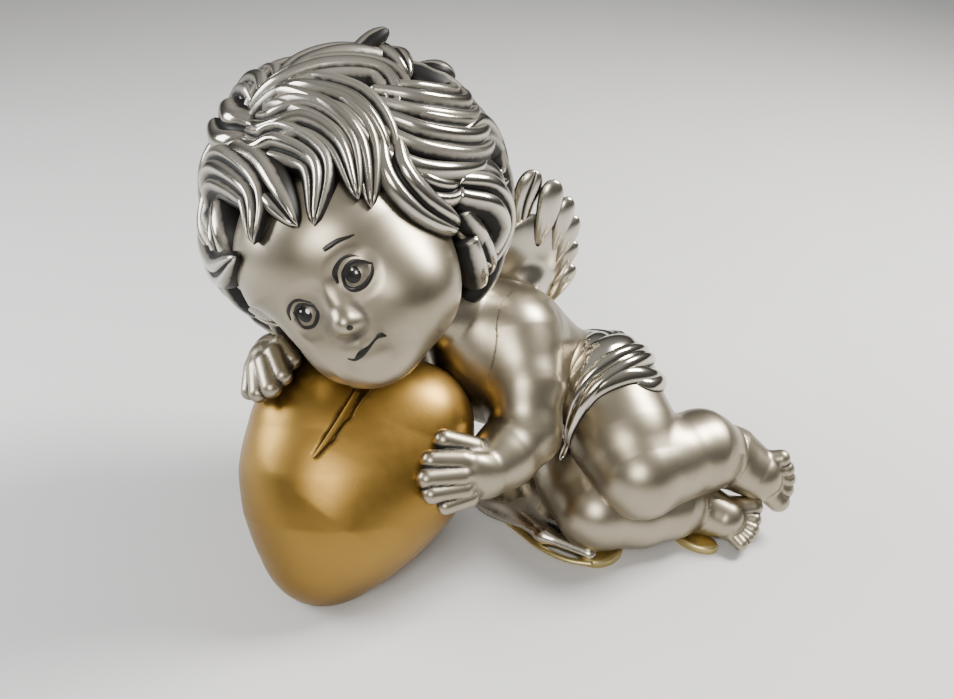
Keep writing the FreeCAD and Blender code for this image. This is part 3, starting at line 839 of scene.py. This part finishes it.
# %% [markdown]
# ## The right wing
# It leans back behind the head. Its feathers are given in the wing's own plane, by how far aside and how far
# up they lie, and a loop makes them.

# %% Right wing
RIGHT_WING_ROOT = np.array((38.6, 33.0, 28.0))
RIGHT_WING_TIP = np.array((27.0, 46.0, 44.0))
RIGHT_WING_OUT = np.array((0.62, 0.70, -0.20))
RIGHT_UP = RIGHT_WING_TIP - RIGHT_WING_ROOT
RIGHT_UP = RIGHT_UP / np.linalg.norm(RIGHT_UP)
RIGHT_OUTWARD = np.cross(RIGHT_WING_OUT, RIGHT_UP)
RIGHT_OUTWARD /= np.linalg.norm(RIGHT_OUTWARD)
RIGHT_FACE = np.cross(RIGHT_UP, RIGHT_OUTWARD)


def right_spot(aside, up):
    """A point of the right wing from how far aside and up it lies in the wing's own plane."""
    return tuple(RIGHT_WING_ROOT + RIGHT_OUTWARD * aside + RIGHT_UP * up + RIGHT_FACE * 0.5)


def right_panel_form(points):
    """The right wing's panel, a flat egg, with its stub."""
    axes = np.array([RIGHT_OUTWARD, RIGHT_FACE, RIGHT_UP])
    return panel_form(points, at(*right_spot(0, 8)), (6.4, 2.1, 8.0), axes,
                      at(*right_spot(0, -1), 3.2), at(*right_spot(0, 4), 3.0))


# aside at the root, up at the root, aside at the tip, up at the tip, half width, strands
RIGHT_FEATHERS = [(-2.0, 12.0, -2.4, 22.0, 3.3, 2), (1.6, 11.0, 1.6, 21.0, 3.15, 1),
                  (4.2, 9.0, 5.2, 18.0, 2.4, 1), (5.2, 6.5, 7.2, 15.0, 2.25, 1),
                  (5.2, 3.0, 8.2, 11.0, 2.1, 1), (-4.6, 9.0, -6.0, 17.0, 2.4, 1)]

plain_cast("right_wing_panel", right_panel_form, at(22, 24, 18), at(50, 52, 50), 0.6, ["right_wing"],
           0.0)
right_feathers = []
for aside, low, lean, high, half_width, strands in RIGHT_FEATHERS:
    middle = right_spot(aside * 1.25, (low + high) / 2)
    right_feathers.append(feather(right_spot(aside, low), middle, right_spot(lean, high), half_width, 1.5,
                                  RIGHT_FACE, strands))
gathered_piece("right_wing_feathers", right_feathers, "right_wing")

# %% [markdown]
# ## The loincloth
# A thin cloth is drawn over the hip and gathered to a point between the legs. It is a skin a little outside
# the body's, with fat folds laid along it from the hip down to the gather.

# %% Cloth folds
def body_form(points):
    """The body under the cloth: torso and both legs."""
    legs = np.minimum(left_leg_form(points), right_leg_form(points))
    return np.minimum(torso_form(points), legs)


def fold(path, half_width, thick, strands=1):
    """A fold of cloth along the body: the path is drawn to the skin and stands off along the skin's slope."""
    line = settle(body_form, smooth_path([at(*spot) for spot in path], ALONG), 2.5)
    t = np.linspace(0, 1, ALONG)
    swell = np.maximum(np.sin(np.pi * (0.10 + 0.90 * t)), 0.004) ** 0.6
    across, up = round_profile(AROUND)
    crest = np.abs(np.sin(np.pi * strands * (across + 1) / 2)) ** 0.7
    top = np.where(up > 0, np.abs(up) ** 0.7 * (0.5 + 0.5 * crest), up * 0.8)
    points = carry(line, field_slope(body_form, line), half_width * swell, thick * swell, across, top)
    wash = np.clip(1.1 - 3.5 * np.maximum(up, 0) * (0.4 + 0.6 * crest), 0, 1)
    return points, tube_faces(ALONG, AROUND), np.tile(wash, ALONG)


cloth_folds = [
    fold([(60.0, 24.0, 30.5), (58.0, 18.6, 32.6), (53.6, 12.0, 32.6), (50.9, 8.6, 28.6), (50.3, 7.6, 22.0),
          (50.0, 5.8, 15.0)], 2.3, 1.3),
    fold([(64.5, 21.0, 28.5), (61.8, 15.5, 32.2), (56.8, 11.6, 33.0), (53.2, 9.0, 30.0), (51.4, 7.4, 25.0),
          (50.6, 7.0, 18.5)], 3.0, 1.7),
    fold([(66.6, 18.0, 27.0), (64.6, 13.4, 31.0), (58.8, 9.2, 32.2), (54.4, 7.4, 29.6), (52.2, 6.4, 25.0),
          (51.0, 6.0, 17.0)], 2.8, 1.9, 2),
    fold([(68.2, 14.0, 25.5), (65.6, 9.4, 29.7), (60.0, 7.4, 31.2), (55.0, 6.4, 29.4), (52.8, 5.8, 26.0),
          (51.2, 5.8, 20.0)], 1.9, 1.5),
    fold([(68.2, 18.0, 22.0), (67.8, 12.0, 26.6), (65.0, 7.6, 29.0), (61.6, 6.6, 30.4)], 1.8, 1.3),
    fold([(57.0, 31.0, 24.0), (61.5, 26.0, 28.4), (65.5, 20.0, 27.5), (68.4, 13.0, 23.0)], 3.4, 1.2, 2),
    fold([(56.0, 33.0, 19.0), (61.0, 30.0, 22.5), (66.0, 24.5, 22.5), (69.5, 17.0, 18.5)], 3.6, 1.3, 2),
    fold([(54.5, 33.5, 14.0), (60.0, 32.0, 16.5), (66.0, 27.0, 16.5), (70.0, 19.0, 13.5)], 3.6, 1.3, 2),
    fold([(53.0, 33.0, 9.0), (59.0, 31.5, 10.5), (65.5, 27.5, 10.5), (70.0, 20.0, 9.0)], 3.4, 1.3, 2),
    fold([(52.0, 31.5, 4.6), (59.0, 30.0, 5.4), (65.0, 26.0, 5.4), (69.0, 19.0, 4.8)], 3.2, 1.3, 2),
]
gathered_piece("loincloth_folds", cloth_folds, "loincloth")

# %% [markdown]
# ## The cloth over the seat
# Under the folds behind, the cloth lies tight on the body. It is a plain roll from the hips to the seat,
# kept only behind the thighs.

# %% Wrap
def wrap_form(points):
    """A roll a little fatter than the body, cut off in front and at the ground."""
    wrap = roll(points, PELVIS[:3] + (PELVIS[3] + 0.5,), SEAT[:3] + (SEAT[3] + 0.5,))
    in_front = at(0, 17, 0)[1] - points[:, 1]
    return np.maximum(wrap, np.maximum(in_front, 0.05 - points[:, 2]))


plain_cast("loincloth_wrap", wrap_form, at(42, 14, -1), at(74, 37, 34), 0.6, ["loincloth"],
           0.0)

# %% [markdown]
# ## The cloth on the ground
# The child lies on the rest of the cloth: a flat slab with a rolled front edge, whose hem is touched with
# gold.

# %% Ground cloth
def ground_cloth_form(points):
    """Three low flattened eggs blended together, cut level at the ground."""
    form = egg(points, at(52, 16, 1.2), (15, 13, 2.6))
    form = blend(form, egg(points, at(42, 16, 2.2), (6.5, 7.5, 3.4)), 3)
    form = blend(form, roll(points, at(39.6, 13.2, 1.9, 1.6), at(47.4, 2.0, 1.5, 1.5)), 1.5)
    form = blend(form, roll(points, at(47.4, 2.0, 1.5, 1.5), at(54.6, -3.2, 1.4, 1.3)), 1.5)
    return np.maximum(form, -points[:, 2] + 0.02)


points, faces = surface_cells(ground_cloth_form, np.array(at(30, -8, -1)), np.array(at(72, 34, 8)), 0.6)
points = settle(ground_cloth_form, points, PLAIN_LIMIT)
make_piece("ground_cloth_slab", points, faces.tolist(), ["ground_cloth"],
           wash_in_folds(ground_cloth_form, points))

HEM_RADIUS = 0.55
HEM = [(38.2, 12.8, 0.6), (39.6, 10.6, 0.6), (43.8, 4.1, 0.6), (46.7, -0.2, 0.6), (50.7, -3.5, 0.6),
       (54.8, -5.2, 0.9)]
hem_line = smooth_path([at(*spot) for spot in HEM], ALONG)
upward = np.broadcast_to(np.array((0.0, 0.0, 1.0)), hem_line.shape)
points, faces, wash = flat_tube(hem_line, upward, np.full(ALONG, HEM_RADIUS), HEM_RADIUS * 0.8, 16)
make_piece("ground_cloth_hem", points, faces, ["ground_cloth"], wash * 0, crisp=False)

# %% [markdown]
# ## Writing finishes as expressions
# A finish is a small network of nodes. This class wraps one socket, so that sums and products of patterns
# can be written as plain Python and each operation adds its own Math node.

# %% Node expressions
class Socket:
    """One output of a node tree; arithmetic on it adds Math nodes."""

    def __init__(self, tree, link):
        self.tree, self.link = tree, link

    def math(self, operation, *values):
        """A Math node on the values, which are sockets or numbers."""
        return add_node(self.tree, "ShaderNodeMath", {"operation": operation}, dict(enumerate(values)))

    def __add__(self, other):
        return self.math("ADD", self, other)

    def __sub__(self, other):
        return self.math("SUBTRACT", self, other)

    def __rsub__(self, other):
        return self.math("SUBTRACT", other, self)

    def __mul__(self, other):
        return self.math("MULTIPLY", self, other)

    def clamped(self):
        """The value kept between nothing and one."""
        return self.math("MAXIMUM", self.math("MINIMUM", self, 1.0), 0.0)

    __radd__, __rmul__ = __add__, __mul__


def add_node(tree, kind, settings, inputs, output=0):
    """Adds a node, sets its settings, then its sockets by name or number, and gives one output."""
    node = tree.nodes.new(kind)
    for key, value in settings.items():
        if key == "stops":
            ramp = node.color_ramp
            for i, (place, colour) in enumerate(value):
                stop = ramp.elements[i] if i < len(ramp.elements) else ramp.elements.new(place)
                stop.position, stop.color = place, colour
        else:
            setattr(node, key, value)
    for key, value in inputs.items():
        if isinstance(value, Socket):
            tree.links.new(value.link, node.inputs[key])
        else:
            node.inputs[key].default_value = value
    return Socket(tree, node.outputs[output])


def noise(tree, scale, detail=3.0, stretch=(1, 1, 1)):
    """Soft noise on the piece's own coordinates, centred on a half; scale is per metre."""
    place = add_node(tree, "ShaderNodeTexCoord", {}, {}, "Object")
    turned = add_node(tree, "ShaderNodeMapping", {}, {"Vector": place, "Scale": stretch})
    return add_node(tree, "ShaderNodeTexNoise", {}, {"Vector": turned, "Scale": scale, "Detail": detail})


def mix_colour(tree, share, first, second):
    """A colour between two, by a share from nothing to one."""
    return add_node(tree, "ShaderNodeMix", {"data_type": "RGBA"}, {0: share, 6: first, 7: second}, 2)


def new_finish(name):
    """A new material, its node tree and its shader."""
    finish = bpy.data.materials.new(name)
    finish.use_nodes = True
    return finish, finish.node_tree, finish.node_tree.nodes["Principled BSDF"]


def connect(shader, **sockets):
    """Links or sets the shader's sockets; underscores in names stand for spaces."""
    for key, value in sockets.items():
        socket = shader.inputs[key.replace("_", " ")]
        if isinstance(value, Socket):
            value.tree.links.new(value.link, socket)
        else:
            socket.default_value = value


def dress(finish, *names):
    """Gives a finish to every piece whose name starts with one of the names."""
    for piece in bpy.data.objects:
        if piece.type == "MESH" and piece.name.startswith(names):
            piece.data.materials.clear()
            piece.data.materials.append(finish)


# %% [markdown]
# ## Lacquer, plating and black wash
# Skin: champagne-silver metallic lacquer, satin, drifting a little between two tones.
# Hair, wings and cloth: brighter plating, almost a mirror, with matt black in the grooves.
# Heart: gold lacquer with a fine grain, darker in the crease. All three are one recipe with other numbers.

# %% Finishes
BLACK_WASH = (0.006, 0.0055, 0.005, 1)


def washed(tree, colour, amount, roughness):
    """Colour, roughness and metallic of a metal coat under black wash, whose amount is the wash attribute."""
    wash = add_node(tree, "ShaderNodeAttribute", {"attribute_name": "wash"}, {}, "Fac")
    dirt = (wash * amount * (0.7 + noise(tree, 900.0) * 0.6)).clamped()
    return {"Base_Color": mix_colour(tree, dirt, colour, BLACK_WASH),
            "Roughness": roughness + dirt * 0.35, "Metallic": 1.0 - dirt * 0.9}


def metal_finish(name, clouds, tones, grain, amount, gloss, **sockets):
    """A metal coat that drifts between two tones, with fine grain and an amount of black wash.

    Clouds: scale and detail. Grain: scale, strength, depth in metres. Gloss: least roughness, scale and
    spread."""
    finish, tree, shader = new_finish(name)
    colour = mix_colour(tree, (noise(tree, *clouds) * 1.6 - 0.3).clamped(), *tones)
    scale, strength, depth = grain
    bump = add_node(tree, "ShaderNodeBump", {}, {"Strength": strength, "Distance": depth,
                                                 "Height": noise(tree, scale, 2.0)})
    least, uneven, spread = gloss
    roughness = least + noise(tree, uneven) * spread
    connect(shader, **washed(tree, colour, amount, roughness), Normal=bump, **sockets)
    return finish


def plated_finish(name, least_roughness):
    """Silver plating: a near mirror or satin, by its least roughness."""
    tones = (0.42, 0.38, 0.305, 1), (0.60, 0.565, 0.49, 1)
    return metal_finish(name, (90.0, 3.0), tones, (420.0, 0.25, 0.0001), 1.6, (least_roughness, 300.0, 0.08),
                        Specular_IOR_Level=0.25)


def paint_finish(name, colour):
    """Glossy brush paint, a little streaky."""
    finish, tree, shader = new_finish(name)
    streaks = noise(tree, 1500.0, 2.0)
    connect(shader, Base_Color=mix_colour(tree, streaks, colour, tuple(c * 1.3 for c in colour[:3]) + (1,)),
            Roughness=0.22 + streaks * 0.2, Specular_IOR_Level=0.3)
    return finish


def pale_gold_finish():
    """Thin pale gold over the resin, a little cloudy."""
    finish, tree, shader = new_finish("pale_gold")
    cloudy = noise(tree, 120.0, 3.0)
    connect(shader, Base_Color=mix_colour(tree, cloudy, (0.50, 0.40, 0.17, 1), (0.62, 0.52, 0.25, 1)),
            Roughness=0.28 + cloudy * 0.15, Metallic=1.0)
    return finish


SKIN_TONES = (0.30, 0.262, 0.19, 1), (0.39, 0.345, 0.262, 1)
GOLD_TONES = (0.23, 0.133, 0.030, 1), (0.31, 0.188, 0.046, 1)
skin_finish = metal_finish("champagne_silver_lacquer", (60.0, 4.0), SKIN_TONES, (2600.0, 0.12, 0.00004), 1.0,
                           (0.30, 260.0, 0.10))
gold_finish = metal_finish("gold_lacquer", (50.0, 4.0), GOLD_TONES, (3200.0, 0.2, 0.00005), 0.8,
                           (0.34, 500.0, 0.10))
dress(skin_finish, "head_skin", "torso_skin", "left_arm", "right_arm", "left_leg", "right_leg", "left_foot",
      "right_foot")
dress(gold_finish, "heart_body", "heart_dowel", "heart_crease_edge")
dress(pale_gold_finish(), "knee_rest", "ankle_rest", "ground_cloth_hem")
dress(plated_finish("bright_silver_plating", 0.11), "hair", "loincloth", "neck_dowel")
dress(plated_finish("satin_silver_plating", 0.20), "left_wing", "right_wing", "ground_cloth_slab")
dress(paint_finish("black_paint", (0.010, 0.009, 0.008, 1)), "paint_lines", "paint_pupils")
# White finish for the painted highlights on the eyes.
dress(paint_finish("white_painted_highlight", (0.85, 0.84, 0.80, 1)), "paint_glints")

# %% [markdown]
# ## The stage
# A plain pale floor and three soft lamps, high on the right, in front and on the left, under a dim sky.
# Plated metal shows what is around it, so the sky runs from dark at the horizon to light overhead.

# %% Floor and light
floor_mesh = bpy.data.meshes.new("floor")
floor_mesh.from_pydata([(-2, -2, 0), (2, -2, 0), (2, 2, 0), (-2, 2, 0)], [], [(0, 1, 2, 3)])
floor = bpy.data.objects.new("floor", floor_mesh)
bpy.context.scene.collection.objects.link(floor)
floor_finish, floor_tree, floor_shader = new_finish("pale_floor")
connect(floor_shader, Roughness=0.7, Base_Color=mix_colour(floor_tree, noise(floor_tree, 30.0),
                                                          (0.60, 0.60, 0.60, 1), (0.64, 0.64, 0.64, 1)))
floor_mesh.materials.append(floor_finish)


def soft_lamp(name, place, target, size, watts, colour=(1, 1, 1)):
    """A square lamp aimed at a point; places in millimetres."""
    lamp = bpy.data.lights.new(name, "AREA")
    lamp.size, lamp.energy, lamp.color = size * MM, watts, colour
    holder = bpy.data.objects.new(name, lamp)
    bpy.context.scene.collection.objects.link(holder)
    aim = (Vector(target) - Vector(place)).normalized()
    turned = aim.to_track_quat("-Z", "Y").to_matrix().to_4x4()
    holder.matrix_world = Matrix.Translation(Vector(place) * MM) @ turned


soft_lamp("key_lamp", (260, 60, 330), (0, 0, 35), 150, 4.0, (1.0, 0.97, 0.92))
soft_lamp("front_lamp", (-120, -330, 260), (0, 0, 35), 160, 1.2, (1.0, 0.96, 0.90))
soft_lamp("left_lamp", (-300, 40, 160), (0, 0, 35), 160, 1.2, (0.95, 0.97, 1.0))

world = bpy.data.worlds.new("studio")
bpy.context.scene.world = world
world.use_nodes = True
sky = world.node_tree
SKY_STOPS = [(0.0, (0.10, 0.10, 0.10, 1)), (0.45, (0.05, 0.05, 0.05, 1)), (0.62, (0.20, 0.20, 0.20, 1)),
             (1.0, (0.9, 0.9, 0.9, 1))]
direction = add_node(sky, "ShaderNodeTexCoord", {}, {}, "Generated")
height = add_node(sky, "ShaderNodeSeparateXYZ", {}, {0: direction}, 2)
shade = add_node(sky, "ShaderNodeValToRGB", {"stops": SKY_STOPS}, {0: height * 0.5 + 0.5})
sky.links.new(shade.link, sky.nodes["Background"].inputs["Color"])
sky.nodes["Background"].inputs["Strength"].default_value = 0.6

# %% [markdown]
# ## The camera
# It looks down at the figurine from the front, a little from the left, as one looks at a thing on a table.

# %% Camera
EYE = at(13.5, -127.1, 117.9)
LOOK = Vector((0.1340, 0.8494, -0.5105))
UPWARD = Vector((0.0299, 0.5114, 0.8588))
camera_data = bpy.data.cameras.new("camera")
camera_data.sensor_width, camera_data.lens = 36.0, 36.98
camera_data.clip_start = 0.005
camera = bpy.data.objects.new("camera", camera_data)
bpy.context.scene.collection.objects.link(camera)
across = LOOK.cross(UPWARD).normalized()
turn = Matrix((across, across.cross(LOOK).normalized(), -LOOK.normalized())).transposed()
camera.matrix_world = Matrix.Translation(Vector(EYE) * MM) @ turn.to_4x4()
bpy.context.scene.camera = camera
